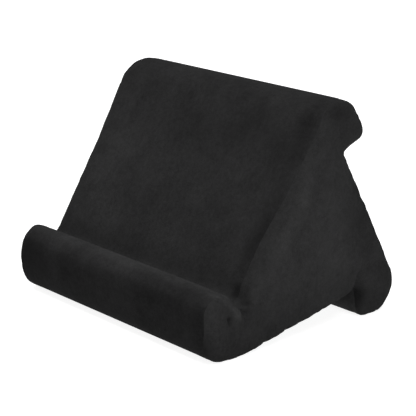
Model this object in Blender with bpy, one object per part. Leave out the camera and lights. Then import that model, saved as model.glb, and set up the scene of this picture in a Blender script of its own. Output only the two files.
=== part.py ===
"""Tablet cushion stand: one shaped foam block inside a sewn fabric cover.

X runs along the cushion's width, Y from front to back and Z up, in metres. The cushion is a long bar
with the same side profile all along: a triangle whose three faces each end in a rounded lip. It stands
on the front roll and the rear roll. The origin is on the floor, under the middle of the cushion.

The cover has five pieces. Three strips of fabric run round the profile, from one valley to the next,
and two end panels close the ends, each with a hem that is turned in under the strips.
"""
import math

import bmesh
import bpy
from mathutils import Vector
from mathutils.geometry import delaunay_2d_cdt

# Overall width, over the puffed end panels, and how far those bulge past their seams
WIDTH = 0.280
END_PUFF = 0.0095
PUFF_REACH = 0.014

# Fabric thickness, the hem of an end panel, and the clearance between two pieces that touch
FABRIC = 0.0012
HEM = 0.010
CLEARANCE = 0.0003

# The strips round over towards the end seams: how deep, and from how far
SEAM_SINK = 0.001
SEAM_ROUNDING = 0.009

# Side profile, front roll: from the front valley forward over the roll and down to the floor
VALLEY_HEIGHT = 0.0540
FRONT_TOP_LENGTH = 0.0499
FRONT_TOP_FALL = 15.7
FRONT_LEAN = 4.7
FRONT_SOLE = 0.0443

# Side profile, slope and top lip: from the front valley up, over and back to the notch
SLOPE_LENGTH = 0.1766
SLOPE_ANGLE = 59.2
CROWN_LENGTH = 0.0352
CROWN_RISE = 12.6
LIP_LENGTH = 0.0467
LIP_FALL = 59.8
LIP_UNDERSIDE = 0.0306
LIP_UNDERSIDE_FALL = 19.9

# Side profile, rear face and rear roll: from the notch down to the floor and up to the rear valley
REAR_BACK_HEIGHT = 0.0266
REAR_ANGLE = 60.7
REAR_TUCK = 54.5
REAR_SOLE = 0.0372
REAR_VALLEY_RISE = 0.0300
REAR_VALLEY_ANGLE = 70.5

# Radii of the profile's corners
VALLEY_RADIUS = 0.0025
TOP_RADIUS = 0.0205
CROWN_RADIUS = 0.0235
LIP_RADIUS = 0.0103
NOTCH_RADIUS = 0.0030
REAR_BACK_RADIUS = 0.0250
REAR_FOOT_RADIUS = 0.0234
REAR_INNER_RADIUS = 0.0110
REAR_VALLEY_RADIUS = 0.0040
SOLE_RADIUS = 0.0300
FRONT_FOOT_RADIUS = 0.0235
FRONT_TOP_RADIUS = 0.0170

# How fine the surfaces are: the turn between two points of an arc, the spacing of points along a
# straight side and over an end, and the rings of points that follow an end's rim
ARC_STEP = 18.0
SIDE_STEP = 0.024
END_GRID = 0.021
END_RINGS = (0.0065, 0.0135)
ROUNDING_STEPS = (0.0, 0.4, 1.0)

SEAM_X = WIDTH / 2 - END_PUFF


def clear_scene():
    for thing in list(bpy.data.objects):
        bpy.data.objects.remove(thing)


def along(start, heading, length):
    """The point at a length from start, in a heading given in degrees up from +Y."""
    turn = math.radians(heading)
    return (start[0] + length * math.cos(turn), start[1] + length * math.sin(turn))


def down_to(start, heading, height):
    """Where a line from start, in a heading in degrees up from +Y, comes down to a height."""
    return (start[0] - (start[1] - height) / math.tan(math.radians(heading)), height)


def profile_corners():
    """The profile's corners with their radii, clockwise as seen from +X with +Y to the right."""
    front_valley = (0.0, VALLEY_HEIGHT)
    top = along(front_valley, SLOPE_ANGLE, SLOPE_LENGTH)
    crown = along(top, CROWN_RISE, CROWN_LENGTH)
    lip = along(crown, -LIP_FALL, LIP_LENGTH)
    notch = along(lip, 180.0 + LIP_UNDERSIDE_FALL, LIP_UNDERSIDE)
    rear_back = down_to(notch, -REAR_ANGLE, REAR_BACK_HEIGHT)
    rear_foot = down_to(rear_back, REAR_TUCK, 0.0)
    rear_inner = (rear_foot[0] - REAR_SOLE, 0.0)
    rear_valley = along(rear_inner, REAR_VALLEY_ANGLE, REAR_VALLEY_RISE)
    front_top = along(front_valley, 180.0 - FRONT_TOP_FALL, FRONT_TOP_LENGTH)
    front_foot = down_to(front_top, -90.0 + FRONT_LEAN, 0.0)
    sole_end = (front_foot[0] + FRONT_SOLE, 0.0)
    return [
        (front_valley, VALLEY_RADIUS),
        (top, TOP_RADIUS),
        (crown, CROWN_RADIUS),
        (lip, LIP_RADIUS),
        (notch, NOTCH_RADIUS),
        (rear_back, REAR_BACK_RADIUS),
        (rear_foot, REAR_FOOT_RADIUS),
        (rear_inner, REAR_INNER_RADIUS),
        (rear_valley, REAR_VALLEY_RADIUS),
        (sole_end, SOLE_RADIUS),
        (front_foot, FRONT_FOOT_RADIUS),
        (front_top, FRONT_TOP_RADIUS),
    ]


def corner_arc(before, corner, after, radius):
    """Points of the arc that rounds a corner, within half of its shorter side."""
    here = Vector(corner)
    back = (Vector(before) - here).normalized()
    ahead = (Vector(after) - here).normalized()
    half = back.angle(ahead) / 2
    longest = min((Vector(before) - here).length, (Vector(after) - here).length) * 0.49
    reach = min(radius / math.tan(half), longest)
    true_radius = reach * math.tan(half)
    centre = here + (back + ahead).normalized() * (true_radius / math.sin(half))
    start = here + back * reach - centre
    turn = start.angle_signed(here + ahead * reach - centre)
    steps = max(2, 2 * math.ceil(math.degrees(abs(turn)) / ARC_STEP / 2))
    points = []
    for step in range(steps + 1):
        angle = -turn * step / steps
        points.append(centre + Vector((
            start.x * math.cos(angle) - start.y * math.sin(angle),
            start.x * math.sin(angle) + start.y * math.cos(angle))))
    return points


def side_profile():
    """The rounded profile, centred on Y = 0, and where each corner's middle is in it."""
    corners = profile_corners()
    arcs = []
    for index, (corner, radius) in enumerate(corners):
        before = corners[index - 1][0]
        after = corners[(index + 1) % len(corners)][0]
        arcs.append(corner_arc(before, corner, after, radius))
    points = []
    middles = []
    for index, arc in enumerate(arcs):
        middles.append(len(points) + len(arc) // 2)
        points.extend(arc)
        side = arcs[(index + 1) % len(arcs)][0] - arc[-1]
        steps = math.ceil(side.length / SIDE_STEP)
        points.extend(arc[-1] + side * (step / steps) for step in range(1, steps))
    middle_y = (min(p.x for p in points) + max(p.x for p in points)) / 2
    return [p - Vector((middle_y, 0.0)) for p in points], middles


def outward_normals(points):
    """The direction away from the foam at each point of the clockwise profile."""
    normals = []
    for index, point in enumerate(points):
        run = (points[(index + 1) % len(points)] - point).normalized()
        run += (point - points[index - 1]).normalized()
        normals.append(Vector((-run.y, run.x)).normalized())
    return normals


PROFILE, CORNER_MIDDLES = side_profile()
NORMALS = outward_normals(PROFILE)
FRONT_VALLEY, NOTCH, REAR_VALLEY = (CORNER_MIDDLES[0], CORNER_MIDDLES[4], CORNER_MIDDLES[8])


def sink_at(from_seam):
    """How far the strips' surface has rounded over, at a distance in from the end seam."""
    share = max(0.0, 1.0 - from_seam / SEAM_ROUNDING)
    return SEAM_SINK * share * share


def inset_loop(depth):
    return [point - normal * depth for point, normal in zip(PROFILE, NORMALS)]


def place(loop, x):
    return [Vector((x, point.x, point.y)) for point in loop]


def distance_to_loop(point, loop):
    nearest = math.inf
    for index, end in enumerate(loop):
        start = loop[index - 1]
        run = end - start
        share = max(0.0, min(1.0, (point - start).dot(run) / run.length_squared))
        nearest = min(nearest, (point - start - run * share).length)
    return nearest


def is_inside(point, loop):
    inside = False
    for index, end in enumerate(loop):
        start = loop[index - 1]
        if (end.y > point.y) != (start.y > point.y):
            crossing = end.x + (point.y - end.y) * (start.x - end.x) / (start.y - end.y)
            if point.x < crossing:
                inside = not inside
    return inside


SEAM_LOOP = inset_loop(SEAM_SINK)


def puff_at(point):
    """How far the end bulges past its seam, at a point of the profile's plane."""
    share = min(1.0, distance_to_loop(point, SEAM_LOOP) / PUFF_REACH)
    return END_PUFF * math.sqrt(1.0 - (1.0 - share) ** 2)


def ring_points(depth, spacing):
    """Points that follow the seam at a depth, where the profile is wide enough for them."""
    found = []
    for candidate in inset_loop(SEAM_SINK + depth):
        if not is_inside(candidate, SEAM_LOOP) or distance_to_loop(candidate, SEAM_LOOP) < depth * 0.93:
            continue
        if all((candidate - other).length > spacing for other in found):
            found.append(candidate)
    return found


def grid_points(margin):
    """A staggered grid over the rest of the end."""
    low_y = min(p.x for p in SEAM_LOOP)
    high_z = max(p.y for p in SEAM_LOOP)
    columns = math.ceil((max(p.x for p in SEAM_LOOP) - low_y) / END_GRID)
    rows = math.ceil((high_z - min(p.y for p in SEAM_LOOP)) / END_GRID)
    found = []
    for row in range(rows):
        stagger = 0.5 if row % 2 else 0.0
        for column in range(columns + 1):
            candidate = Vector((low_y + (column + stagger) * END_GRID, high_z - (row + 0.5) * END_GRID))
            if is_inside(candidate, SEAM_LOOP) and distance_to_loop(candidate, SEAM_LOOP) > margin:
                found.append(candidate)
    return found


END_POINTS = [point for ring in END_RINGS for point in ring_points(ring, ring / 2)]
END_POINTS += grid_points(END_RINGS[-1] + END_GRID / 3)


def add_loop(mesh, loop, x):
    return [mesh.verts.new(position) for position in place(loop, x)]


def bridge(mesh, first, second, closed=True):
    """Quads between two rows of vertices."""
    count = len(first)
    for index in range(count if closed else count - 1):
        after = (index + 1) % count
        mesh.faces.new((first[index], first[after], second[after], second[index]))


def add_end(mesh, rim, loop, side, drop):
    """Close an end with the puffed surface, lowered by a drop, from the rim's vertices inwards."""
    rim_face = [list(range(len(loop)))]
    points, _, faces, sources, _, _ = delaunay_2d_cdt(loop + END_POINTS, [], rim_face, 1, 1e-7)
    verts = []
    for point, source in zip(points, sources):
        if source and source[0] < len(rim):
            verts.append(rim[source[0]])
        else:
            x = side * (SEAM_X + puff_at(point) - drop)
            verts.append(mesh.verts.new((x, point.x, point.y)))
    for face in faces:
        mesh.faces.new([verts[index] for index in face])


def finish(mesh, name, material):
    """Turn a closed bmesh into a smooth-shaded object."""
    bmesh.ops.recalc_face_normals(mesh, faces=mesh.faces)
    data = bpy.data.meshes.new(name)
    mesh.to_mesh(data)
    mesh.free()
    data.shade_smooth()
    data.set_sharp_from_angle(angle=math.radians(40))
    data.materials.append(material)
    thing = bpy.data.objects.new(name, data)
    bpy.context.scene.collection.objects.link(thing)
    return thing


def make_material(name, colour, roughness):
    material = bpy.data.materials.new(name)
    material.use_nodes = True
    shader = material.node_tree.nodes["Principled BSDF"]
    shader.inputs["Base Color"].default_value = (*colour, 1.0)
    shader.inputs["Roughness"].default_value = roughness
    shader.inputs["Metallic"].default_value = 0.0
    return material


def rounding_stations(start, end):
    """Distances in from the end seam, finer where the strips round over."""
    depths = [share * SEAM_ROUNDING for share in ROUNDING_STEPS]
    return [depth for depth in depths if start <= depth <= end]


def make_strip(name, first, last, material):
    """A strip of the cover from one valley to the next, with half a clearance left at each."""
    count = (last - first) % len(PROFILE) + 1
    path = [(first + step) % len(PROFILE) for step in range(count)]
    points = [PROFILE[index].copy() for index in path]
    points[0] += (points[1] - points[0]).normalized() * CLEARANCE / 2
    points[-1] += (points[-2] - points[-1]).normalized() * CLEARANCE / 2
    normals = [NORMALS[index] for index in path]
    gap = CLEARANCE / 2
    half = [(SEAM_X - gap - depth, sink_at(depth)) for depth in rounding_stations(0.0, SEAM_ROUNDING)]
    stations = half + [(-x, sink) for x, sink in reversed(half)]
    mesh = bmesh.new()
    outer_rows = []
    inner_rows = []
    for x, sink in stations:
        outer = [point - normal * sink for point, normal in zip(points, normals)]
        inner = [point - normal * (sink + FABRIC) for point, normal in zip(points, normals)]
        outer_rows.append(add_loop(mesh, outer, x))
        inner_rows.append(add_loop(mesh, inner, x))
    for row in range(len(stations) - 1):
        bridge(mesh, outer_rows[row], outer_rows[row + 1], closed=False)
        bridge(mesh, inner_rows[row], inner_rows[row + 1], closed=False)
    for edge in (0, -1):
        bridge(mesh, outer_rows[edge], inner_rows[edge], closed=False)
        bridge(mesh, [row[edge] for row in outer_rows], [row[edge] for row in inner_rows], closed=False)
    return finish(mesh, name, material)


def make_end_panel(name, side, material):
    """A puffed end panel and its hem, which is turned in between the strips and the foam."""
    mesh = bmesh.new()
    seam_x = side * (SEAM_X + CLEARANCE / 2)
    rim = add_loop(mesh, SEAM_LOOP, seam_x)
    hem_depth = FABRIC + CLEARANCE
    depths = rounding_stations(0.0, HEM) + [HEM]
    rows = [rim, add_loop(mesh, inset_loop(SEAM_SINK + hem_depth), seam_x)]
    for depth in depths[1:]:
        rows.append(add_loop(mesh, inset_loop(sink_at(depth) + hem_depth), side * (SEAM_X - depth)))
    for depth in reversed(depths[1:]):
        rows.append(add_loop(mesh, inset_loop(sink_at(depth) + hem_depth + FABRIC), side * (SEAM_X - depth)))
    puff_loop = inset_loop(SEAM_SINK + hem_depth + FABRIC)
    puff_x = SEAM_X + puff_at(puff_loop[0])
    rows.append(add_loop(mesh, puff_loop, side * (puff_x - FABRIC)))
    rows.insert(0, add_loop(mesh, puff_loop, side * puff_x))
    for first, second in zip(rows, rows[1:]):
        bridge(mesh, first, second)
    add_end(mesh, rows[0], puff_loop, side, 0.0)
    add_end(mesh, rows[-1], puff_loop, side, FABRIC)
    return finish(mesh, name, material)


def make_foam_core(name, material):
    """The foam block: full size between the hems, and stepped in by a hem's thickness at each end."""
    lining = FABRIC + CLEARANCE
    depths = rounding_stations(0.0, HEM) + [HEM + CLEARANCE]
    end_loop = inset_loop(SEAM_SINK + 2 * lining)
    end_x = SEAM_X + puff_at(end_loop[0]) - lining
    stations = [(end_x, SEAM_SINK + 2 * lining)]
    stations += [(SEAM_X - depth, sink_at(depth) + 2 * lining) for depth in depths[1:]]
    stations.append((SEAM_X - depths[-1], lining))
    stations += [(-x, depth) for x, depth in reversed(stations)]
    mesh = bmesh.new()
    rows = [add_loop(mesh, inset_loop(depth), x) for x, depth in stations]
    for first, second in zip(rows, rows[1:]):
        bridge(mesh, first, second)
    add_end(mesh, rows[0], end_loop, 1, lining)
    add_end(mesh, rows[-1], end_loop, -1, lining)
    return finish(mesh, name, material)


def main():
    clear_scene()
    velour = make_material("charcoal_velour", (0.018, 0.018, 0.019), 0.92)
    end_velour = make_material("charcoal_velour_ends", (0.022, 0.022, 0.023), 0.92)
    foam = make_material("white_foam", (0.72, 0.69, 0.60), 0.85)
    make_strip("cover_slope_panel", FRONT_VALLEY, NOTCH, velour)
    make_strip("cover_rear_panel", NOTCH, REAR_VALLEY, velour)
    make_strip("cover_front_panel", REAR_VALLEY, FRONT_VALLEY, velour)
    make_end_panel("cover_end_panel_right", 1, end_velour)
    make_end_panel("cover_end_panel_left", -1, end_velour)
    make_foam_core("foam_core", foam)


main()
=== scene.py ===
# %% [markdown]
# # A tablet cushion stand in charcoal velour
#
# This is a foam stand for a tablet: a long cushion whose three sloping faces each end in a rounded lip.
# The frame holds its true sizes as plain solids. This lesson sews the real cover over it: three strips of
# velour round the profile, two puffed end panels, the seams between them and the puckers that a seam pulls.

# %% Load the frame
import math

import bmesh
import bpy
import numpy as np
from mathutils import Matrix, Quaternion, Vector
from mathutils.geometry import delaunay_2d_cdt


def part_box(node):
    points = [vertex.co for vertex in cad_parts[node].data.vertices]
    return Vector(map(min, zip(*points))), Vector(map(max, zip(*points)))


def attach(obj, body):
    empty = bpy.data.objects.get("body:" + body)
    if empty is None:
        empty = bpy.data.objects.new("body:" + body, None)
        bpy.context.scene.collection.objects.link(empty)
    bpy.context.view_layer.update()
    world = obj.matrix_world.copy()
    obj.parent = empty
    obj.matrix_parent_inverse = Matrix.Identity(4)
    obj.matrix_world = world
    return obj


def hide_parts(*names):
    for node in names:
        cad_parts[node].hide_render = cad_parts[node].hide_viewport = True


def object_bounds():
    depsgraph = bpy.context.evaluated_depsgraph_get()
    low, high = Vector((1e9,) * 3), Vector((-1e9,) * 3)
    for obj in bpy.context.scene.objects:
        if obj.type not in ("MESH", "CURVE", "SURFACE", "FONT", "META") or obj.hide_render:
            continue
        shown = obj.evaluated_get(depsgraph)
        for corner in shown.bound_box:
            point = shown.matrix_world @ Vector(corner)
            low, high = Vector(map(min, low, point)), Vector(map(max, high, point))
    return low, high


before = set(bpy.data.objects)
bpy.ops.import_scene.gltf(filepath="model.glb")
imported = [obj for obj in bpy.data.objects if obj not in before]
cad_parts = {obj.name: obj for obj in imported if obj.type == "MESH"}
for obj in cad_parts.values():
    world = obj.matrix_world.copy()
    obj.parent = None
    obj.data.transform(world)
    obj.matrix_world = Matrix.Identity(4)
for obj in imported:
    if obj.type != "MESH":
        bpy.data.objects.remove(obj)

CAD_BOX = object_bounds()
print("nodes:", sorted(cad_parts))

# %% [markdown]
# ## The camera
#
# A long lens from the front and the right, a little above the cushion. The angles and the distance were
# found by laying the cushion's corners over the photograph, so the frame and the picture agree.

# %% Camera
AZIMUTH = 48.80
ELEVATION = 16.26
ROLL = 0.22
DISTANCE = 1.393
AIM = Vector((0.0, 0.0004, 0.0905))
LENS_MM = 127.95
SHIFT = (0.0095, -0.0024)


def add_camera():
    """A camera that looks at AIM from DISTANCE away, turned and raised by the two angles."""
    turn, rise = math.radians(AZIMUTH), math.radians(ELEVATION)
    back = Vector((math.sin(turn) * math.cos(rise), -math.cos(turn) * math.cos(rise), math.sin(rise)))
    data = bpy.data.cameras.new("camera")
    data.lens = LENS_MM
    data.shift_x, data.shift_y = SHIFT
    camera = bpy.data.objects.new("camera", data)
    camera.location = AIM + back * DISTANCE
    camera.rotation_mode = "QUATERNION"
    camera.rotation_quaternion = back.to_track_quat("Z", "Y") @ Quaternion((0, 0, 1), math.radians(ROLL))
    bpy.context.scene.collection.objects.link(camera)
    bpy.context.scene.camera = camera
    return camera


camera = add_camera()
print("camera at", [round(v, 3) for v in camera.location])

# %% [markdown]
# ## The profile
#
# Every strip of the cover follows one outline, so that outline comes first. It could be typed in again,
# but the foam block in the frame already has it: its long edges cross the plane X = 0 once each. Chaining
# those crossings gives the foam's outline, and growing it by the thickness of the cover gives the outside.

# %% Read the outline from the foam
ALONG_X = 1e-5


def foam_outline(node):
    """The loop of points where the foam's long edges cross X = 0, as (y, z)."""
    mesh = node.data
    mesh.calc_loop_triangles()
    links = {}
    long_edges = set()
    for triangle in mesh.loop_triangles:
        corners = [mesh.vertices[index].co for index in triangle.vertices]
        crossings = []
        for p, q in zip(corners, corners[1:] + corners[:1]):
            low, high = (p, q) if p.x < q.x else (q, p)
            if low.x < 0 < high.x:
                point = low.lerp(high, low.x / (low.x - high.x))
                crossings.append((point.y, point.z))
                if (high.yz - low.yz).length < ALONG_X:
                    long_edges.add(crossings[-1])
        if len(crossings) == 2:
            links.setdefault(crossings[0], []).append(crossings[1])
            links.setdefault(crossings[1], []).append(crossings[0])
    loop = [next(iter(links))]
    came_from = None
    while len(loop) < len(links):
        ahead = [point for point in links[loop[-1]] if point != came_from]
        came_from = loop[-1]
        loop.append(ahead[0])
    return np.array([point for point in loop if point in long_edges])


def signed_area(points):
    """The area inside a loop of points, which is negative when the loop runs clockwise."""
    after = np.roll(points, -1, axis=0)
    return 0.5 * np.sum(points[:, 0] * after[:, 1] - after[:, 0] * points[:, 1])


def outward(points):
    """Unit normals of a clockwise loop, pointing out of it."""
    ahead = np.roll(points, -1, axis=0) - points
    ahead /= np.linalg.norm(ahead, axis=1)[:, None]
    along = ahead + np.roll(ahead, 1, axis=0)
    along /= np.linalg.norm(along, axis=1)[:, None]
    return np.stack([-along[:, 1], along[:, 0]], axis=1)


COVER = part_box("cover_slope_panel")[1][2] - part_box("foam_core")[1][2]
outline = foam_outline(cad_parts["foam_core"])
if signed_area(outline) > 0:
    outline = outline[::-1]
outline = outline + outward(outline) * COVER
print(f"outline: {len(outline)} points, cover {COVER * 1000:.2f} mm")

# %% [markdown]
# ## Valleys and even spacing
#
# The strips meet in the three valleys, where the outline turns the wrong way round. Between two valleys
# the outline is drawn again as a smooth curve with evenly spaced points, because cloth only moves well
# on faces of one size. A Catmull-Rom curve is used, which goes through every point of the frame's outline.

# %% Find the valleys and resample
SPACING = 0.0036
LEAST_TURN = 0.03
FINE_STEPS = 12


def valleys_of(points):
    """The middle index of each run of points where the clockwise outline turns left."""
    into = points - np.roll(points, 1, axis=0)
    out = np.roll(points, -1, axis=0) - points
    sizes = np.linalg.norm(into, axis=1) * np.linalg.norm(out, axis=1)
    left = (into[:, 0] * out[:, 1] - into[:, 1] * out[:, 0]) / sizes > LEAST_TURN
    count = len(points)
    starts = [index for index in range(count) if left[index] and not left[index - 1]]
    middles = []
    for start in starts:
        length = 0
        while left[(start + length) % count]:
            length += 1
        middles.append((start + length // 2) % count)
    return middles


def smooth_run(points, first, last, spacing):
    """Evenly spaced points of the curve through points[first..last]."""
    count = len(points)
    steps = (last - first) % count
    dense = []
    for step in range(steps):
        a, b, c, d = (Vector(points[(first + step + offset) % count]) for offset in (-1, 0, 1, 2))
        t1 = (b - a).length ** 0.5
        t2 = t1 + (c - b).length ** 0.5
        t3 = t2 + (d - c).length ** 0.5
        for fine in range(FINE_STEPS):
            t = t1 + (t2 - t1) * fine / FINE_STEPS
            ab = a * (t1 - t) / t1 + b * t / t1
            bc = b * (t2 - t) / (t2 - t1) + c * (t - t1) / (t2 - t1)
            cd = c * (t3 - t) / (t3 - t2) + d * (t - t2) / (t3 - t2)
            abc = ab * (t2 - t) / t2 + bc * t / t2
            bcd = bc * (t3 - t) / (t3 - t1) + cd * (t - t1) / (t3 - t1)
            dense.append(abc * (t2 - t) / (t2 - t1) + bcd * (t - t1) / (t2 - t1))
    dense.append(Vector(points[last]))
    dense = np.array(dense)
    lengths = np.concatenate([[0.0], np.cumsum(np.linalg.norm(np.diff(dense, axis=0), axis=1))])
    pieces = round(lengths[-1] / spacing)
    wanted = np.linspace(0.0, lengths[-1], pieces + 1)[:-1]
    return np.stack([np.interp(wanted, lengths, dense[:, axis]) for axis in (0, 1)], axis=1)


front_valley, notch, rear_valley = sorted(valleys_of(outline), key=lambda index: tuple(outline[index]))
runs = {
    "cover_slope_panel": smooth_run(outline, front_valley, notch, SPACING),
    "cover_rear_panel": smooth_run(outline, notch, rear_valley, SPACING),
    "cover_front_panel": smooth_run(outline, rear_valley, front_valley, SPACING),
}
PROFILE = np.concatenate(list(runs.values()))
STRIP_OF = np.concatenate([np.full(len(run), index) for index, run in enumerate(runs.values())])
FRONT_VALLEY = PROFILE[0]
NOTCH = PROFILE[len(runs["cover_slope_panel"])]
REAR_VALLEY = PROFILE[len(runs["cover_slope_panel"]) + len(runs["cover_rear_panel"])]
for name, run in runs.items():
    print(name, "has", len(run), "rows of faces")
print("valleys (mm):", *(np.round(v * 1000, 1) for v in (FRONT_VALLEY, NOTCH, REAR_VALLEY)))

# %% [markdown]
# ## The sewn shape before stuffing
#
# The cover is one closed mesh while it is shaped, so that nothing opens at a seam. Rows of quads run from
# one end seam to the other. Near a seam they are closer together and sink, because the foam's edge is cut
# round and the thread pulls the cloth in. In the valleys the seam is also pulled in along the width, and by
# the crown the cloth wraps further round the end. A sewn cushion is never even, so each side has numbers
# of its own: 1 is the right side, the one that the photograph shows, and -1 is the left.

# %% Helpers that fade
def bump(distance, reach):
    """A bell curve, which is 1 at no distance and dies out beyond the reach."""
    return np.exp(-(distance / reach) ** 2)


def ramp(values, start, run):
    """0 at the start, 1 from a run past it on, and straight between; a negative run looks downwards."""
    return np.clip((values - start) / run, 0.0, 1.0)


def smooth(share):
    """A share from 0 to 1 with its two ends levelled off."""
    return share * share * (3 - 2 * share)


print("half a reach away a bump is", round(float(bump(0.5, 1.0)), 2))

# %% Where the end seams run
SEAM_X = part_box("cover_slope_panel")[1][0]
HALF_WIDTH = CAD_BOX[1][0]
SEAM_EASE = 0.0017
# the pull at the front valley, its reach round the roll, and where it is full and gone up the slope
FRONT_PULLS = {1: 0.0062, -1: -0.0030}
FRONT_PULL_REACH = 0.012
FRONT_PULL_FULL = 0.036
FRONT_PULL_GONE = 0.108
SLOPE_FOOT = 0.050
# the other valleys: place, pull, reach
VALLEY_PULLS = ((REAR_VALLEY, 0.0045, 0.012), (NOTCH, 0.0005, 0.010))
# the seam lies further out the higher it is, and further still on the upper slope in front of the lip
RELEASE = 0.0030
RELEASE_START = 0.10
RELEASE_RUN = 0.10
CROWN_EXTRAS = {1: 0.0024, -1: 0.0018}
CROWN_START = 0.12
CROWN_RUN = 0.06
CROWN_BACK = 0.030
CROWN_BACK_RUN = 0.020
# how quickly the front roll's rounder end sets in
ROLL_RUN = 0.014


def crown_share(points):
    """1 on the upper slope, where the cloth wraps further round the end, and 0 away from it."""
    high = ramp(points[:, 1], CROWN_START, CROWN_RUN)
    return high * ramp(points[:, 0], CROWN_BACK, -CROWN_BACK_RUN)


def seam_half_width(points, side):
    """How far from the middle the end seam lies on one side, at points (y, z) of the profile."""
    half = np.full(len(points), SEAM_X + SEAM_EASE)
    from_front = np.linalg.norm(points - FRONT_VALLEY, axis=1)
    up_slope = smooth(ramp(from_front, FRONT_PULL_GONE, FRONT_PULL_FULL - FRONT_PULL_GONE))
    on_slope = (points[:, 0] > FRONT_VALLEY[0]) & (points[:, 1] > SLOPE_FOOT)
    half -= FRONT_PULLS[side] * np.where(on_slope, up_slope, bump(from_front, FRONT_PULL_REACH))
    for valley, pull, reach in VALLEY_PULLS:
        half -= pull * bump(np.linalg.norm(points - valley, axis=1), reach)
    rise = ramp(points[:, 1], RELEASE_START, RELEASE_RUN)
    return half + RELEASE * rise + CROWN_EXTRAS[side] * crown_share(points)


def roll_share(points):
    """1 on the front roll, whose ends are rounder, and 0 away from it."""
    return smooth(ramp(points[:, 0], FRONT_VALLEY[0], -ROLL_RUN))


print("the seams stand", round((SEAM_X + SEAM_EASE) * 1000, 1), "mm from the middle where nothing pulls")

# %% [markdown]
# ## Fuller here, deeper there
#
# The foam has a plain profile, and the stuffed cover doesn't follow it everywhere. The front valley is sewn
# deeper along the slope, so the cloth on both sides is dragged along with it. The crest of the front roll,
# the notch under the lip and the rear face stand a little fuller. Both changes fade like a bell curve.

# %% Change the profile
DOWN_SLOPE = (-0.0026, -0.0043)
DRAG_REACH = 0.0095
CREST = (-0.1011, 0.0615)
REAR_MIDDLE = (NOTCH + REAR_VALLEY) / 2 + (0.018, -0.005)
# centre (y, z), lift, reach
SWELLS = (
    (CREST, 0.0012, 0.0110),
    (NOTCH, 0.0016, 0.0060),
    (REAR_MIDDLE, 0.0016, 0.0400),
)


def swell(points, centre, lift, reach):
    """Lift the profile round a point, where the stuffing stands fuller."""
    near = bump(np.linalg.norm(points - centre, axis=1), reach)
    return points + outward(points) * (lift * near)[:, None]


def drag(points, centre, move, reach):
    """Move the profile near a point, as a seam sewn deeper takes the cloth on both sides with it."""
    near = bump(np.linalg.norm(points - centre, axis=1), reach)
    return points + np.array(move) * near[:, None]


PROFILE = drag(PROFILE, FRONT_VALLEY, DOWN_SLOPE, DRAG_REACH)
FRONT_VALLEY = PROFILE[0]
for centre, lift, reach in SWELLS:
    PROFILE = swell(PROFILE, centre, lift, reach)
normals = outward(PROFILE)
half_widths = {side: seam_half_width(PROFILE, side) for side in (1, -1)}
on_roll = roll_share(PROFILE)
for side, name in ((1, "right"), (-1, "left")):
    nearest, furthest = half_widths[side].min(), half_widths[side].max()
    print(f"{name} seam from {nearest * 1000:.1f} to {furthest * 1000:.1f} mm")

# %% [markdown]
# ## The three strips
#
# Each strip is a grid: its rows follow the profile, and its stations run across the cushion. A station is a
# share of the half width, so the same share bends with the seam near it. Beside the seam the cloth sinks,
# and how much depends on where it is: gently round the front roll, sharply elsewhere, and not at all low
# down. In the corner behind the roll, where three pieces meet, it sinks the most.

# %% Rows of the strips
# the first stations' distances from the seam, and how far inwards a pull on the seam is felt
NEAR_SEAM = np.array([0.0, 0.0012, 0.0026, 0.0044, 0.0066, 0.0094, 0.0126])
PULL_DEPTH = 0.020
# how deep the cloth sinks at the seam, and how far from it, in general and round the roll's end
SEAM_SINK = 0.0010
SINK_REACH = 0.0060
ROLL_SINKS = {1: 0.0032, -1: 0.0}
ROLL_SINK_REACH = 0.0120
# below this height the sinking fades out
BASE_TOP = 0.034
BASE_RUN = 0.020
# what the crown and the corner behind the roll add
CROWN_SINKS = {1: 0.0022, -1: 0.0}
CROWN_SINK_REACH = 0.0050
CORNER_SINKS = {1: 0.0050, -1: 0.0}
CORNER_REACH = 0.009
CORNER_SINK_REACH = 0.0050


def stations():
    """Shares of the half width, from -1 to 1, with close steps by each seam."""
    half = float(np.mean(half_widths[1]))
    inner = half - NEAR_SEAM[-1] - SPACING
    count = round(2 * inner / SPACING)
    middle = np.linspace(-inner, inner, count + 1)
    near = half - NEAR_SEAM
    return np.concatenate([-near, middle, near[::-1]]) / half


STATIONS = stations()


def strip_points():
    """An array of rows x stations x 3."""
    share = STATIONS[None, :]
    right = share > 0
    straight = SEAM_X * share
    depth = (1 - np.abs(share)) * SEAM_X
    half = np.where(right, half_widths[1][:, None], half_widths[-1][:, None])
    x = straight + (half - SEAM_X) * share * np.exp(-depth / PULL_DEPTH)
    sharp = SEAM_SINK * np.exp(-depth / SINK_REACH)
    round_off = np.where(right, ROLL_SINKS[1], ROLL_SINKS[-1]) * np.exp(-depth / ROLL_SINK_REACH)
    low = ramp(PROFILE[:, 1], BASE_TOP, -BASE_RUN)[:, None]
    sink = (sharp + (round_off - sharp) * on_roll[:, None]) * (1.0 - low)
    crown_sink = np.where(right, CROWN_SINKS[1], CROWN_SINKS[-1])
    sink += crown_sink * crown_share(PROFILE)[:, None] * np.exp(-depth / CROWN_SINK_REACH)
    corner_sink = np.where(right, CORNER_SINKS[1], CORNER_SINKS[-1])
    at_corner = bump(np.linalg.norm(PROFILE - FRONT_VALLEY, axis=1), CORNER_REACH)[:, None]
    sink += corner_sink * at_corner * np.exp(-depth / CORNER_SINK_REACH)
    y = PROFILE[:, :1] - normals[:, :1] * sink
    z = PROFILE[:, 1:] - normals[:, 1:] * sink
    return np.stack([x, y, z], axis=2)


strips = strip_points()
print("strips:", strips.shape[0], "rows by", strips.shape[1], "stations")

# %% [markdown]
# ## The end panels
#
# Each end is a flat pattern piece. Its rounded edge has three rows of points that follow the seam, so that
# the edge is even all the way round, and a square grid fills the middle. A Delaunay triangulation ties
# these points to the seam, and joining its triangles in pairs gives quads again. The panel starts with
# most of its puff: the stuffing does the rest.

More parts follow.
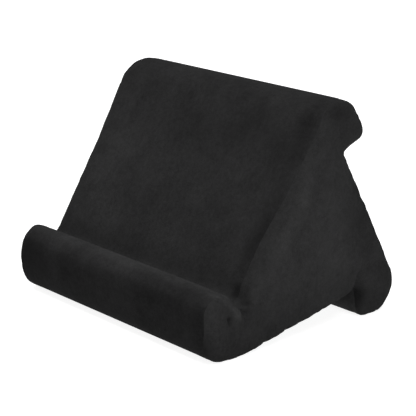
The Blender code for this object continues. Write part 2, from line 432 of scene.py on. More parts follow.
# %% Points of an end panel
# the rounded edge, in general and on the roll, and the low dome over the middle
EDGE_REACH = 0.0085
ROLL_EDGE_REACH = 0.0140
EDGE_X = HALF_WIDTH - 0.0014
MIDDLE_X = HALF_WIDTH + 0.0010
MIDDLE_REACH = 0.034
# the rows by the seam, the share of its depth that a row's point keeps, and the gap to the grid in spacings
RING_DEPTHS = (0.0012, 0.0028, 0.0048)
RING_KEEP = 0.96
GRID_GAP = 0.62
# the triangulation's mode, and a distance that counts as none
INSIDE_ONLY = 1
TINY = 1e-7


def distance_to(points, loop):
    """The distance from each point to a closed loop."""
    start, end = loop, np.roll(loop, -1, axis=0)
    run = end - start
    length2 = (run ** 2).sum(1)
    best = np.full(len(points), np.inf)
    for a, r, l2 in zip(start, run, length2):
        share = np.clip(((points - a) @ r) / l2, 0.0, 1.0)
        best = np.minimum(best, np.linalg.norm(points - a - share[:, None] * r, axis=1))
    return best


def inside(points, loop):
    """Whether each point lies inside a closed loop: a ray from it crosses the loop an odd number of times."""
    flags = np.zeros(len(points), bool)
    for a, b in zip(loop, np.roll(loop, -1, axis=0)):
        spans = (a[1] > points[:, 1]) != (b[1] > points[:, 1])
        height = b[1] - a[1] if b[1] != a[1] else 1.0
        flags ^= spans & (points[:, 0] < a[0] + (points[:, 1] - a[1]) * (b[0] - a[0]) / height)
    return flags


def end_x(distance, seam_x, roll):
    """How far out the stuffed end lies: a quarter round at its edge, and a low dome over the middle."""
    edge = ramp(distance, 0.0, EDGE_REACH + (ROLL_EDGE_REACH - EDGE_REACH) * roll)
    middle = ramp(distance, 0.0, MIDDLE_REACH)
    round_edge = (EDGE_X - seam_x) * np.sqrt(1.0 - (1.0 - edge) ** 2)
    dome = (MIDDLE_X - EDGE_X) * (1.0 - (1.0 - middle) ** 2)
    return seam_x + round_edge + dome


def ring_points(seam_loop):
    """Points in rows that follow the seam, so that the rounded edge is even all the way round."""
    rings = []
    for depth in RING_DEPTHS:
        ring = seam_loop - outward(seam_loop) * depth
        ring = ring[inside(ring, seam_loop)]
        rings.append(ring[distance_to(ring, seam_loop) > RING_KEEP * depth])
    return np.concatenate(rings)


def end_grid(seam_loop, seam_xs):
    """The inner points of one end panel, its faces, and how far out its points lie when flat and when full."""
    low, high = seam_loop.min(0), seam_loop.max(0)
    ys, zs = (np.arange(low[axis], high[axis], SPACING) for axis in (0, 1))
    grid = np.stack(np.meshgrid(ys, zs), 2).reshape(-1, 2)
    grid = grid[inside(grid, seam_loop)]
    grid = grid[distance_to(grid, seam_loop) > RING_DEPTHS[-1] + GRID_GAP * SPACING]
    grid = np.concatenate([ring_points(seam_loop), grid])
    distance = distance_to(grid, seam_loop)
    flat = [Vector(point) for point in np.concatenate([seam_loop, grid])]
    border = [list(range(len(seam_loop)))]
    _, _, faces, sources, _, _ = delaunay_2d_cdt(flat, [], border, INSIDE_ONLY, TINY)
    faces = [[sources[index][0] for index in face] for face in faces]
    near_x = np.array([
        np.average(seam_xs, weights=1 / (TINY + ((seam_loop - point) ** 2).sum(1))) for point in grid
    ])
    full_x = end_x(distance, near_x, roll_share(grid))
    return {"grid": grid, "faces": faces, "flat_x": near_x, "full_x": full_x}


SEAM_LOOPS = {1: strips[:, -1, 1:], -1: strips[:, 0, 1:]}
ENDS = {side: end_grid(SEAM_LOOPS[side], half_widths[side]) for side in (1, -1)}
for side, end in ENDS.items():
    print("end panel", side, "has", len(end["grid"]), "inner points and", len(end["faces"]), "triangles")

# %% [markdown]
# ## One closed cover
#
# Strips and ends become one mesh that shares its seam points. The number of its panel goes into each
# face's material index, which every later step carries along, so the cover can be cut apart at the end.

# %% Build the closed cover
FIRST_PUFF = 0.95
JOIN_ANGLE = 0.7
PANELS = list(runs) + ["cover_end_panel_right", "cover_end_panel_left"]
RIGHT, LEFT = 3, 4


def closed_cover():
    """One bmesh of the whole cover, with each face's panel in its material index."""
    mesh = bmesh.new()
    rows, columns = strips.shape[:2]
    verts = [[mesh.verts.new(strips[row, column]) for column in range(columns)] for row in range(rows)]
    for row in range(rows):
        after = (row + 1) % rows
        for column in range(columns - 1):
            face = mesh.faces.new((verts[row][column], verts[after][column],
                                   verts[after][column + 1], verts[row][column + 1]))
            face.material_index = int(STRIP_OF[row])
    for side, column, panel in ((1, -1, RIGHT), (-1, 0, LEFT)):
        end = ENDS[side]
        xs = side * (end["flat_x"] + FIRST_PUFF * (end["full_x"] - end["flat_x"]))
        points = [verts[row][column] for row in range(rows)]
        points += [mesh.verts.new((x, y, z)) for x, (y, z) in zip(xs, end["grid"])]
        made = []
        for corners in end["faces"]:
            face = mesh.faces.new([points[index] for index in corners])
            face.material_index = panel
            made.append(face)
        bmesh.ops.join_triangles(mesh, faces=made, angle_face_threshold=JOIN_ANGLE,
                                 angle_shape_threshold=JOIN_ANGLE)
    bmesh.ops.recalc_face_normals(mesh, faces=mesh.faces)
    return mesh


cover_bmesh = closed_cover()
cover_data = bpy.data.meshes.new("cover_shape")
cover_bmesh.to_mesh(cover_data)
cover_bmesh.free()
cover = bpy.data.objects.new("cover_shape", cover_data)
bpy.context.scene.collection.objects.link(cover)
print("closed cover:", len(cover_data.vertices), "vertices,", len(cover_data.polygons), "faces")

# %% [markdown]
# ## Stuffing the cover
#
# A cushion looks soft because its cloth is under pressure and its seams are not. So the cloth is
# simulated: the seams and the broad faces, which lie on foam, are held, and the ends and the cloth beside
# the seams are free, cut a little too large and blown up from inside. The result is applied to the mesh.

# %% Hold and blow up
# beyond this distance from the seam the cloth is held
HOLD_REACH = 0.016
# above this height the front roll's seam is free
ROLL_FOOT = 0.030
ROLL_FREE_RUN = 0.016
FRAMES = 20
MOST_MOVE = 0.011
NO_MOVE = 1e-9
# a negative shrink is cloth that was cut too large
CLOTH_SETTINGS = {
    "quality": 5,
    "mass": 0.2,
    "tension_stiffness": 12,
    "compression_stiffness": 12,
    "shear_stiffness": 4,
    "bending_stiffness": 0.15,
    "air_damping": 4,
    "vertex_group_mass": "held",
    "pin_stiffness": 1.0,
    "use_pressure": True,
    "uniform_pressure_force": 1.0,
    "shrink_min": -0.006,
}


def held_weights():
    """1 where the cloth is held, 0 where it is free; over the front roll the seam itself is free."""
    depth = (1 - np.abs(STATIONS)) * SEAM_X
    strip = np.tile(ramp(depth, 0.0, HOLD_REACH) ** 2, (len(PROFILE), 1))
    high = ramp(PROFILE[:, 1], ROLL_FOOT, ROLL_FREE_RUN)
    strip[:, 0] = strip[:, -1] = 1.0 - on_roll * high
    ends = np.zeros(sum(len(end["grid"]) for end in ENDS.values()))
    return np.concatenate([strip.ravel(), ends])


def vertex_array(mesh):
    """The mesh's points, one row each."""
    found = np.empty(len(mesh.vertices) * 3, np.float32)
    mesh.vertices.foreach_get("co", found)
    return found.reshape(-1, 3).astype(float)


def stuff(thing):
    """Simulate the cloth and return the moved vertices, with the move capped."""
    start = vertex_array(thing.data)
    group = thing.vertex_groups.new(name="held")
    weights = held_weights()
    for index in range(len(start)):
        group.add([index], float(weights[index]), "REPLACE")
    modifier = thing.modifiers.new("cloth", "CLOTH")
    for name, value in CLOTH_SETTINGS.items():
        setattr(modifier.settings, name, value)
    modifier.settings.effector_weights.gravity = 0.0
    modifier.collision_settings.use_collision = False
    scene = bpy.context.scene
    scene.frame_start, scene.frame_end = 1, FRAMES
    modifier.point_cache.frame_start, modifier.point_cache.frame_end = 1, FRAMES
    for number in range(1, FRAMES + 1):
        scene.frame_set(number)
    result = thing.evaluated_get(bpy.context.evaluated_depsgraph_get())
    moved = vertex_array(result.data) - start
    length = np.linalg.norm(moved, axis=1)
    moved *= np.minimum(1.0, MOST_MOVE / np.maximum(length, NO_MOVE))[:, None]
    thing.modifiers.remove(modifier)
    thing.vertex_groups.clear()
    scene.frame_set(1)
    print(f"cloth moved up to {length.max() * 1000:.1f} mm")
    return start + moved


shape = stuff(cover)

# %% [markdown]
# ## The real width
#
# How far the pressure pushes an end is hard to foresee, and the width of the cushion is known. So what
# stands past the seams is scaled, until the softest part of each end reaches a little past the plain solid.

# %% Fit the puff to the real width
SOFT_PAST = 0.0028
FIT_START = 0.002


def fit_width(points):
    """Scale what stands past the seams, so that the ends reach a little beyond the frame's width."""
    fitted = points.copy()
    limit = HALF_WIDTH + SOFT_PAST
    start = SEAM_X + FIT_START
    most = np.abs(points[:, 0]).max()
    past = np.abs(points[:, 0]) > start
    scale = (limit - start) / (most - start)
    fitted[past, 0] = np.sign(points[past, 0]) * (start + (np.abs(points[past, 0]) - start) * scale)
    print(f"ends reached {most * 1000:.1f} mm, scaled by {scale:.2f}")
    return fitted


cover.data.vertices.foreach_set("co", fit_width(shape).astype(np.float32).ravel())
cover.data.update()

# %% [markdown]
# ## One finer level
#
# A subdivision rounds what the cloth left and gives the seams and puckers enough points. The seam edges
# are creased first, so that they stay crisp folds instead of being smoothed away. Over the front roll the
# crease is weak, because there the two pieces meet in a soft round edge.

# %% Subdivide with creased seams
END_CREASE = 0.60
ROLL_CREASE = 0.10


def subdivide(thing):
    """Crease the end seams and make the mesh one level finer."""
    mesh = bmesh.new()
    mesh.from_mesh(thing.data)
    crease = mesh.edges.layers.float.new("crease_edge")
    for edge in mesh.edges:
        panels = {face.material_index for face in edge.link_faces}
        if len(panels) == 2 and max(panels) >= RIGHT:
            place = edge.verts[0].co
            on_front_roll = place.y < FRONT_VALLEY[0] and place.z > ROLL_FOOT
            edge[crease] = ROLL_CREASE if on_front_roll else END_CREASE
    mesh.to_mesh(thing.data)
    mesh.free()
    modifier = thing.modifiers.new("finer", "SUBSURF")
    modifier.levels = modifier.render_levels = 1
    result = thing.evaluated_get(bpy.context.evaluated_depsgraph_get())
    fine = bpy.data.meshes.new_from_object(result)
    thing.modifiers.remove(modifier)
    thing.data = fine


subdivide(cover)
print("finer cover:", len(cover.data.vertices), "vertices")

# %% [markdown]
# ## Folds and pinches
#
# Some forms are too small or too particular for the simulation: the pinch in the front roll's end, the
# folds above the base. They are pressed in one by one. Each is a short line on the end panel with a width and
# a depth, and the cloth falls away from it like a bell curve.

# %% Press in the folds of the end panels
# the folds set in this far inside the seam, over this run
FOLD_START = 0.016
FOLD_RUN = 0.012
# name, sides, start (y, z), end (y, z), reach, depth along X; a negative depth stands out
FOLDS = (
    ("seam_pinch", (1,), (-0.0690, 0.0600), (-0.0730, 0.0520), 0.0040, 0.0018),
    ("front_valley_pinch", (1,), (-0.0725, 0.0525), (-0.0720, 0.0480), 0.0036, 0.0018),
    ("crown_pinch", (1, -1), (0.0215, 0.2071), (0.0155, 0.2018), 0.0036, 0.0024),
    ("roll_fold", (1,), (-0.0738, 0.0480), (-0.0726, 0.0390), 0.0034, 0.0042),
    ("roll_fold_end", (1,), (-0.0726, 0.0390), (-0.0730, 0.0330), 0.0036, 0.0014),
    ("roll_rim", (1,), (-0.0885, 0.0535), (-0.0805, 0.0455), 0.0055, -0.0036),
    ("roll_rim_end", (1,), (-0.0800, 0.0450), (-0.0780, 0.0380), 0.0050, -0.0024),
    ("roll_dimple", (1,), (-0.0912, 0.0390), (-0.0905, 0.0370), 0.0026, 0.0030),
    ("roll_crease", (1,), (-0.0805, 0.0335), (-0.0890, 0.0300), 0.0024, 0.0010),
    ("rear_valley_fold", (1, -1), (0.0690, 0.0290), (0.0670, 0.0440), 0.0032, 0.0035),
    ("rear_valley_pinch", (1, -1), (0.0700, 0.0260), (0.0715, 0.0300), 0.0080, 0.0040),
    ("base_pucker_back", (1,), (-0.0200, 0.0120), (-0.0180, 0.0240), 0.0030, 0.0019),
    ("base_pucker_front", (1,), (-0.0465, 0.0070), (-0.0440, 0.0180), 0.0030, 0.0019),
    ("base_fold_back", (1, -1), (0.0150, 0.0240), (0.0120, 0.0620), 0.0050, 0.0017),
    ("base_fold_front", (1, -1), (-0.0060, 0.0180), (-0.0050, 0.0520), 0.0046, 0.0016),
    ("base_ridge", (1, -1), (0.0040, 0.0200), (0.0040, 0.0560), 0.0046, -0.0012),
    ("notch_fold", (1, -1), (0.0480, 0.1600), (0.0400, 0.1640), 0.0050, 0.0020),
    ("left_roll_shoulder", (-1,), (-0.1110, 0.0570), (-0.1180, 0.0480), 0.0100, 0.0040),
    ("left_roll_dome", (-1,), (-0.1020, 0.0380), (-0.0980, 0.0260), 0.0180, -0.0022),
    ("left_base_pucker", (-1,), (-0.0320, 0.0080), (-0.0300, 0.0200), 0.0032, 0.0018),
    ("left_roll_crease", (-1,), (-0.0850, 0.0330), (-0.0930, 0.0280), 0.0035, 0.0012),
)


def distance_to_segment(points, start, end):
    """The distance from each point to a straight line from start to end."""
    start, end = np.array(start), np.array(end)
    run = end - start
    share = np.clip(((points - start) @ run) / (run @ run), 0.0, 1.0)
    return np.linalg.norm(points - start - share[:, None] * run, axis=1)


def press_folds(points):
    """Move the ends' points in or out along X, with no effect on the middle of the cushion."""
    pressed = points.copy()
    side = np.sign(points[:, 0])
    on_end = ramp(np.abs(points[:, 0]), SEAM_X - FOLD_START, FOLD_RUN)
    for _, sides, start, end, reach, depth in FOLDS:
        near = bump(distance_to_segment(points[:, 1:], start, end), reach)
        pressed[:, 0] -= side * on_end * depth * near * np.isin(side, sides)
    return pressed


shape = press_folds(vertex_array(cover.data))
print("folds pressed:", len(FOLDS))

# %% [markdown]
# ## Puckers
#
# A thread under tension gathers the cloth beside it in small ripples of uneven size. Random heights along
# the seam, joined smoothly, give them: a short wave, and half as much of a longer one. The seeds are fixed,
# so the ripples come out the same every time. What would sink below the floor is laid flat on it.

# %% Pucker the cloth beside the seams
PUCKER_DEPTHS = {1: 0.00028, -1: 0.00016}
PUCKER_SEEDS = {1: 7, -1: 8}
PUCKER_REACH = 0.0065
PUCKER_PITCH = 0.0042
PUCKER_ZONE = 0.024
# the longer wave
LONG_PITCH = 0.011
LONG_SHARE = 0.5
LONG_SEED_STEP = 9
DRAWS = 512


def ripple(position, pitch, seed):
    """Smooth random values from -1 to 1 along a line, one bump for every pitch."""
    draws = np.random.default_rng(seed).uniform(-1.0, 1.0, DRAWS)
    cell = position / pitch
    low = np.floor(cell).astype(int)
    share = smooth(cell - low)
    return draws[low % DRAWS] * (1 - share) + draws[(low + 1) % DRAWS] * share


def pucker(points):
    """Small ripples across each end seam, strongest at the needle line."""
    puckered = points.copy()
    for side, seed in PUCKER_SEEDS.items():
        loop = SEAM_LOOPS[side]
        lengths = np.concatenate([[0.0], np.cumsum(np.linalg.norm(np.diff(loop, axis=0), axis=1))])
        chosen = np.where(side * points[:, 0] > SEAM_X - PUCKER_ZONE)[0]
        near = points[chosen]
        nearest = np.array([np.argmin(((loop - point) ** 2).sum(1)) for point in near[:, 1:]])
        along_x = side * near[:, 0] - half_widths[side][nearest]
        offset = np.sqrt(along_x ** 2 + ((near[:, 1:] - loop[nearest]) ** 2).sum(1))
        wave = ripple(lengths[nearest], PUCKER_PITCH, seed)
        wave = wave + LONG_SHARE * ripple(lengths[nearest], LONG_PITCH, seed + LONG_SEED_STEP)
        size = PUCKER_DEPTHS[side] * wave * bump(offset, PUCKER_REACH)
        puckered[chosen, 1:] += normals[nearest] * size[:, None]
        puckered[chosen, 0] += side * size
    return puckered


shape = pucker(shape)
shape[:, 2] = np.maximum(shape[:, 2], 0.0)
cover.data.vertices.foreach_set("co", shape.astype(np.float32).ravel())
cover.data.update()
print(f"puckers: pitch {PUCKER_PITCH * 1000:.1f} mm, depth {PUCKER_DEPTHS[1] * 1000:.2f} mm")

# %% [markdown]
# ## Shader helper
#
# Materials read best as sums. This small class wraps a node socket, so that adding or multiplying two
# masks in Python adds the Math node for it.

# %% Sockets as values
class Value:
    """A node socket that can be added, multiplied and subtracted."""

    def __init__(self, tree, socket):
        self.tree = tree
        self.socket = socket

    def node(self, kind, settings=None, **sockets):
        return add_node(self.tree, kind, settings, **sockets)

    def math(self, operation, first, second):
        return self.node("ShaderNodeMath", {"operation": operation}, _0=first, _1=second)

    def __add__(self, other):
        return self.math("ADD", self, other)

    def __radd__(self, other):
        return self.math("ADD", other, self)

    def __sub__(self, other):
        return self.math("SUBTRACT", self, other)

    def __rsub__(self, other):
        return self.math("SUBTRACT", other, self)

    def __mul__(self, other):
        return self.math("MULTIPLY", self, other)

    def __rmul__(self, other):
        return self.math("MULTIPLY", other, self)


def plug(tree, socket, value):
    """Link a Value to a socket, or write a plain value into it."""
    if isinstance(value, Value):
        tree.links.new(value.socket, socket)
    else:
        socket.default_value = value


def add_node(tree, kind, settings=None, output=0, **sockets):
    """A node of a type, with its settings made first and its sockets filled by name or as _number."""
    node = tree.nodes.new(kind)
    for name, value in (settings or {}).items():
        setattr(node, name, value)
    for name, value in sockets.items():
        key = int(name[1:]) if name.startswith("_") else name.replace("_", " ")
        plug(tree, node.inputs[key], value)
    return Value(tree, node.outputs[output])


def new_material(name, **inputs):
    """A material with its node tree and its shader, whose inputs are filled by name."""
    material = bpy.data.materials.new(name)
    material.use_nodes = True
    shader = material.node_tree.nodes["Principled BSDF"]
    for key, value in inputs.items():
        plug(material.node_tree, shader.inputs[key.replace("_", " ")], value)
    return material, material.node_tree, shader


print("shader helper ready")

# %% [markdown]
# ## Velour
#
# Velour is a short, dense pile that drinks light and hardly shines, so it is all rough colour with a trace
# of sheen. Light and shade are painted into its tone: painted shade where the cloth turns down, painted light
# where it lies level, and soft blots of painted shade and painted highlights, which on the slope are partly
# paler and darker pile. The first two follow the surface's direction, and each blot has a place, a size and a
# strength. Close up there are blotches and a fine grain, four layers of noise from coarse to fine.

# %% A soft mark of painted light and shade, and of pile on the slope
ALONG_SLOPE = -30.6


def pile_and_painted_light_mark(tree, place, centre, reach, gain, tilt=0.0):
    """A factor that is gain at a centre and runs out to 1 at reach, both (x, y, z) in metres.

    tilt turns the reach about X, in degrees.
    """
    away = add_node(tree, "ShaderNodeMapping", {"vector_type": "TEXTURE"}, Vector=place, Location=centre,
                    Rotation=(math.radians(tilt), 0.0, 0.0), Scale=reach)
    length = add_node(tree, "ShaderNodeVectorMath", {"operation": "LENGTH"}, output=1, _0=away)
    return add_node(tree, "ShaderNodeMapRange", {"interpolation_type": "SMOOTHSTEP"}, Value=length,
                    _1=0.0, _2=1.0, _3=gain, _4=1.0)


print("marks on the slope and the ends are tilted by", ALONG_SLOPE, "degrees where they run up it")

# %% Velour material
# scale, detail, roughness and weight of each layer of noise
NOISES = {
    "patches": (15.0, 2.5, 0.55, 0.60),
    "blotches": (70.0, 3.0, 0.60, 0.55),
    "mottles": (260.0, 2.0, 0.60, 0.60),
    "grain": (900.0, 2.0, 0.70, 0.80),
}
# the tones that the noise runs between, and the runs of the painted shade and the painted light by direction
DARKEST = 0.55
PALEST = 1.45
PAINTED_DOWN_SHADE_RUN = (0.30, 0.85)
CREST_RUN = (0.80, 1.0)
# how rough the pile is, and what stands up in it
ROUGHNESS = 0.84
ROUGHNESS_SPREAD = 0.12
GRAIN_HEIGHT = 0.6
BLOTCH_HEIGHT = 0.4
PILE = {"Strength": 0.35, "Distance": 0.0006}
FINISH = {
    "Specular_IOR_Level": 0.0,
    "Sheen_Weight": 0.02,
    "Sheen_Roughness": 0.30,
    "Sheen_Tint": (0.85, 0.86, 0.88, 1.0),
}


def tone_by_direction(tree, upward, run, low, high):
    """A factor that goes from low to high as the surface turns up, over a run of its upward share."""
    return add_node(tree, "ShaderNodeMapRange", {"interpolation_type": "SMOOTHSTEP"}, Value=upward,
                    _1=run[0], _2=run[1], _3=low, _4=high)


def velour(name, tone, grain_seed, painted_down_shade=0.0, crest=0.0, marks=()):
    """Charcoal velour with marks of painted light and shade, soft patches and a fine grain.

    The two direction factors paint light: the first is how much darker the cloth is painted where it turns
    down, as painted shade, and crest how much paler where it lies level, as painted light. Each mark is the
    centre, the reach and the gain of a blot of painted light and shade, which on the slope is partly paler or
    darker pile.
    """
    material, tree, shader = new_material(name, **FINISH)
    place = add_node(tree, "ShaderNodeTexCoord", output=3)
    shifted = add_node(tree, "ShaderNodeMapping", Vector=place, Location=(grain_seed, 0.0, 0.0))
    noise = {
        layer: add_node(tree, "ShaderNodeTexNoise", Vector=shifted, Scale=scale, Detail=detail,
                        Roughness=rough)
        for layer, (scale, detail, rough, _) in NOISES.items()
    }
    brushed = sum((noise[layer] - 0.5) * weight for layer, (_, _, _, weight) in NOISES.items())
    mix = add_node(tree, "ShaderNodeMapRange", Value=brushed, _1=-0.5, _2=0.5, _3=0.0, _4=1.0)
    dark = tuple(channel * DARKEST for channel in tone) + (1.0,)
    pale = tuple(channel * PALEST for channel in tone) + (1.0,)
    colour = add_node(tree, "ShaderNodeMix", {"data_type": "RGBA"}, output=2, _0=mix, _6=dark, _7=pale)
    direction = add_node(tree, "ShaderNodeNewGeometry", output=1)
    upward = add_node(tree, "ShaderNodeSeparateXYZ", _0=direction, output=2)
    # painted shade where the surface turns down, painted light where it lies level
    turned = tone_by_direction(tree, upward, PAINTED_DOWN_SHADE_RUN, 1.0 - painted_down_shade, 1.0)
    shade = turned * tone_by_direction(tree, upward, CREST_RUN, 1.0, 1.0 + crest)
    # blots of painted light and shade, which on the slope are partly pile
    for mark in marks:
        shade = shade * pile_and_painted_light_mark(tree, place, *mark)
    shaded = add_node(tree, "ShaderNodeVectorMath", {"operation": "SCALE"}, _0=colour, Scale=shade)
    plug(tree, shader.inputs["Base Color"], shaded)
    plug(tree, shader.inputs["Roughness"], ROUGHNESS + ROUGHNESS_SPREAD * mix)
    height = GRAIN_HEIGHT * noise["grain"] + BLOTCH_HEIGHT * noise["blotches"]
    plug(tree, shader.inputs["Normal"], add_node(tree, "ShaderNodeBump", Height=height, **PILE))
    return material


print("velour:", len(NOISES), "layers of noise")

# %% [markdown]
# ## Where light and shade are painted, and the pile on the slope
#
# These marks were found beside the photograph: a pale sweep on the left of the slope, partly paler pile and
# partly painted light; painted shade towards the slope's right edge and along its seams, in the corner behind
# the roll, on the front roll's ends and below its crest, at the lip's tip and at the foot of the ends; painted
# highlights on the rim of the front roll and beside the ends' slope seams; and painted light low on the rear
# face, where shadow falls.

# %% The marks and the four velours
# centre (x, y, z), reach (x, y, z), gain and, for a mark that runs up the slope, its tilt
# slope: pale pile with painted light on the left, painted shade at the top, along the right seam and in the
# corner behind the roll
SLOPE_PILE_AND_PAINTED_LIGHT_MARKS = (
    ((-0.088, -0.022, 0.141), (0.036, 0.022, 0.030), 1.38),
    ((-0.100, -0.040, 0.110), (0.040, 0.026, 0.040), 1.25),
    ((-0.082, -0.058, 0.080), (0.036, 0.024, 0.036), 1.30),
    ((-0.012, -0.006, 0.164), (0.044, 0.034, 0.044), 0.80),
    ((0.034, -0.012, 0.160), (0.040, 0.030, 0.034), 0.88),
    ((0.058, 0.000, 0.180), (0.055, 0.030, 0.036), 0.74),
    ((0.010, -0.060, 0.075), (0.070, 0.024, 0.036), 1.16),
    ((-0.060, -0.062, 0.074), (0.040, 0.020, 0.030), 1.14),
    ((0.106, -0.006, 0.168), (0.034, 0.026, 0.036), 0.76),
    ((0.127, 0.006, 0.188), (0.020, 0.024, 0.048), 0.66, ALONG_SLOPE),
    ((0.1235, -0.0715, 0.0575), (0.0070, 0.0100, 0.0120), 0.50),
    ((0.020, 0.020, 0.208), (0.070, 0.030, 0.020), 0.86),
    ((0.126, -0.034, 0.121), (0.026, 0.030, 0.080), 0.78, ALONG_SLOPE),
    ((0.126, -0.052, 0.090), (0.020, 0.030, 0.056), 0.72, ALONG_SLOPE),
)
# front roll: painted shade on its ends, its front and below the crest; painted highlights on the crest and the
# rim
ROLL_PAINTED_LIGHT_MARKS = (
    ((-0.102, -0.114, 0.044), (0.028, 0.050, 0.040), 0.72),
    ((-0.130, -0.112, 0.044), (0.030, 0.050, 0.044), 0.68),
    ((-0.090, -0.112, 0.052), (0.026, 0.020, 0.020), 1.15),
    ((0.132, -0.118, 0.030), (0.024, 0.030, 0.034), 0.74),
    ((0.080, -0.114, 0.050), (0.055, 0.020, 0.020), 0.76),
    ((0.110, -0.107, 0.059), (0.036, 0.016, 0.014), 0.68),
    ((0.062, -0.107, 0.060), (0.044, 0.012, 0.010), 0.84),
    ((0.131, -0.099, 0.0635), (0.012, 0.010, 0.008), 1.25),
    ((-0.060, -0.119, 0.038), (0.034, 0.022, 0.022), 0.84),
)
# ends: painted shade at the lip's tip, the dimple, the rear and the foot; painted highlights on the rim and
# beside the slope seam
END_PAINTED_LIGHT_MARKS = (
    ((0.138, 0.042, 0.180), (0.030, 0.030, 0.036), 0.72),
    ((0.138, 0.032, 0.200), (0.030, 0.024, 0.014), 0.72),
    ((0.138, 0.064, 0.186), (0.030, 0.018, 0.030), 0.80),
    ((0.138, -0.012, 0.124), (0.030, 0.013, 0.060), 1.20, ALONG_SLOPE),
    ((0.138, -0.036, 0.084), (0.030, 0.014, 0.040), 1.14, ALONG_SLOPE),
    ((0.134, -0.0970, 0.0620), (0.016, 0.009, 0.008), 1.30),
    ((0.138, -0.0920, 0.0580), (0.020, 0.009, 0.009), 1.35),
    ((0.138, -0.0855, 0.0510), (0.020, 0.009, 0.009), 1.35),
    ((0.138, -0.0815, 0.0430), (0.020, 0.009, 0.010), 1.40),
    ((0.134, -0.0710, 0.0580), (0.022, 0.009, 0.012), 1.24),
    ((0.138, -0.0908, 0.0378), (0.024, 0.0048, 0.0054), 0.60),
    ((0.138, 0.074, 0.094), (0.030, 0.048, 0.080), 0.74),
    ((0.138, 0.069, 0.021), (0.034, 0.016, 0.018), 0.44),
    ((0.138, 0.106, 0.046), (0.030, 0.022, 0.026), 0.82),
    ((0.138, 0.000, -0.010), (0.060, 0.300, 0.080), 0.62),
    ((0.138, 0.100, 0.030), (0.030, 0.034, 0.044), 0.90),
    ((0.137, -0.118, 0.010), (0.024, 0.018, 0.030), 0.62),
)
# rear face: painted light low down, under the arch, where shadow falls
REAR_PAINTED_LIGHT_MARKS = (
    ((0.115, 0.072, 0.012), (0.050, 0.030, 0.030), 1.50),
)
CHARCOAL = (0.0202, 0.0202, 0.0204)
END_CHARCOAL = (0.0216, 0.0216, 0.0218)
slope_velour = velour("slope_velour", CHARCOAL, 0.0, marks=SLOPE_PILE_AND_PAINTED_LIGHT_MARKS)
# the front strip is painted darker where it turns down and paler where it lies level: painted shade and light
front_velour = velour("front_velour", CHARCOAL, 1.0, painted_down_shade=0.28, crest=0.25, marks=ROLL_PAINTED_LIGHT_MARKS)
rear_velour = velour("rear_velour", CHARCOAL, 2.0, marks=REAR_PAINTED_LIGHT_MARKS)
end_velour = velour("end_velour", END_CHARCOAL, 3.0, marks=END_PAINTED_LIGHT_MARKS)
VELOURS = (slope_velour, rear_velour, front_velour, end_velour, end_velour)
print("materials:", sorted({material.name for material in VELOURS}))

# %% [markdown]
# ## The foam block
#
# The closed cover hides the foam, yet the foam is what holds the cushion up, and it is a piece of its own.
# Its shape is the cover's, moved in along the normals by the cloth and a hair more, so that the two never
# touch. Its finish is cut foam, cream white with small open cells.

# %% Foam material
CELL_SCALE = 700.0
CREAM = (0.74, 0.70, 0.58, 1.0)
CELL_EDGE = (0.60, 0.56, 0.45, 1.0)
CELLS = {"Strength": 0.5, "Distance": 0.0005}


def foam_material():
    """Cut foam, cream white with small open cells."""
    material, tree, shader = new_material("cream_foam", Roughness=0.9)
    place = add_node(tree, "ShaderNodeTexCoord", output=3)
    cells = add_node(tree, "ShaderNodeTexVoronoi", Vector=place, Scale=CELL_SCALE)
    colour = add_node(tree, "ShaderNodeMix", {"data_type": "RGBA"}, output=2, _0=cells,
                      _6=CREAM, _7=CELL_EDGE)
    plug(tree, shader.inputs["Base Color"], colour)
    plug(tree, shader.inputs["Normal"], add_node(tree, "ShaderNodeBump", Height=cells, **CELLS))
    return material


print("foam cells are about", round(1000 / CELL_SCALE, 1), "mm wide")

# %% Foam body
FOAM_GAP = 0.0005


def foam_body(inset):
    """The foam block: the cover's own shape, moved in along its normals."""
    data = cover.data.copy()
    data.name = "foam_block"
    count = len(data.vertices)
    turned = np.empty(count * 3, np.float32)
    data.vertices.foreach_get("normal", turned)
    moved = vertex_array(data) - turned.reshape(-1, 3) * inset
    data.vertices.foreach_set("co", moved.astype(np.float32).ravel())
    data.materials.clear()
    data.materials.append(foam_material())
    data.polygons.foreach_set("material_index", np.zeros(len(data.polygons), np.int32))
    block = bpy.data.objects.new("foam_block", data)
    bpy.context.scene.collection.objects.link(block)
    return block


foam = foam_body(COVER + FOAM_GAP)
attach(foam, "root")
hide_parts("foam_core")
print("foam block:", len(foam.data.polygons), "faces")

# %% [markdown]
# ## Cutting the cover into its panels
#
# On the bench the cover is five pieces of cloth, so it is cut along its seams now that it is shaped. The
# edges of a cut are marked sharp, so that the shading breaks at the seam as a fold does. Each piece gets
# the thickness of the cloth, inwards, so its outer face stays where it was.

# %% Cut along the seams
CLOTH_GAP = 0.0004
CLOTH = COVER - CLOTH_GAP


def cut_panel(index, name, material):
    """A new object from the faces of one panel."""
    mesh = bmesh.new()
    mesh.from_mesh(cover.data)
    others = [face for face in mesh.faces if face.material_index != index]
    bmesh.ops.delete(mesh, geom=others, context="FACES")
    for face in mesh.faces:
        face.material_index = 0
        face.smooth = True
    for edge in mesh.edges:
        edge.smooth = not edge.is_boundary
    data = bpy.data.meshes.new(name)
    mesh.to_mesh(data)
    mesh.free()
    data.materials.append(material)
    panel = bpy.data.objects.new(name, data)
    bpy.context.scene.collection.objects.link(panel)
    thickness = panel.modifiers.new("cloth_thickness", "SOLIDIFY")
    thickness.thickness = CLOTH
    thickness.offset = -1.0
    return panel


for index, node in enumerate(PANELS):
    piece = cut_panel(index, node.replace("cover_", "velour_"), VELOURS[index])
    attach(piece, "root")
    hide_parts(node)
    print(piece.name, len(piece.data.polygons), "faces")
bpy.data.objects.remove(cover)

# %% [markdown]
# ## Floor and light
#
# The photograph is a cut-out on white with very soft light: brightest on what faces up, a little less on
# the end, and dark under the front roll. Four wide soft boxes do the same: two overhead, the left one
# stronger, and one low on each side. The floor is grey and glows, so it stays white with hardly a shadow,
# and it runs so far that no horizon shows.

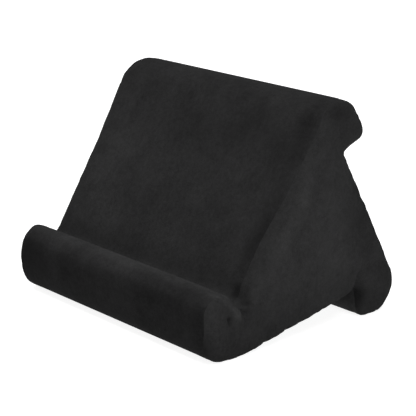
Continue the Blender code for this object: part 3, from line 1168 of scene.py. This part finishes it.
# %% Floor
FLOOR_SIZE = 80.0
FLOOR_GREY = (0.38, 0.38, 0.38, 1.0)
FLOOR_GLOW = 0.90
WHITE = (1.0, 1.0, 1.0, 1.0)


def add_floor():
    """A wide plane at Z = 0, which belongs to the studio and not to the cushion."""
    data = bpy.data.meshes.new("floor")
    half = FLOOR_SIZE / 2
    corners = [(-half, -half, 0), (half, -half, 0), (half, half, 0), (-half, half, 0)]
    data.from_pydata(corners, [], [(0, 1, 2, 3)])
    material, _, _ = new_material("floor_white", Base_Color=FLOOR_GREY, Roughness=0.9,
                                  Specular_IOR_Level=0.1, Emission_Color=WHITE,
                                  Emission_Strength=FLOOR_GLOW)
    data.materials.append(material)
    floor = bpy.data.objects.new("floor", data)
    bpy.context.scene.collection.objects.link(floor)


add_floor()
print("floor:", FLOOR_SIZE, "m square")

# %% Lights
SPREAD = 36.0
LAMP_DISTANCE = 2.0
ROOM_LIGHT = 0.02
# name, direction of the box seen from the cushion, strength
SOFT_BOXES = (
    ("top_left_box", (-0.42, -0.14, 0.90), 2.45),
    ("top_right_box", (0.42, -0.14, 0.90), 1.30),
    ("right_fill", (0.98, -0.02, 0.21), 1.37),
    ("left_fill", (-0.98, -0.02, 0.21), 0.90),
)


def add_soft_box(name, toward, strength):
    """Even light from a wide patch of sky, as a large soft box far away gives."""
    data = bpy.data.lights.new(name, "SUN")
    data.angle = math.radians(SPREAD)
    data.energy = strength
    lamp = bpy.data.objects.new(name, data)
    lamp.location = Vector(toward).normalized() * LAMP_DISTANCE
    lamp.rotation_euler = Vector(toward).to_track_quat("Z", "Y").to_euler()
    bpy.context.scene.collection.objects.link(lamp)


for soft_box in SOFT_BOXES:
    add_soft_box(*soft_box)
world = bpy.data.worlds.new("studio")
world.use_nodes = True
background = world.node_tree.nodes["Background"]
background.inputs["Color"].default_value = WHITE
background.inputs["Strength"].default_value = ROOM_LIGHT
bpy.context.scene.world = world
bpy.context.scene.view_settings.view_transform = "Standard"
print("studio ready")
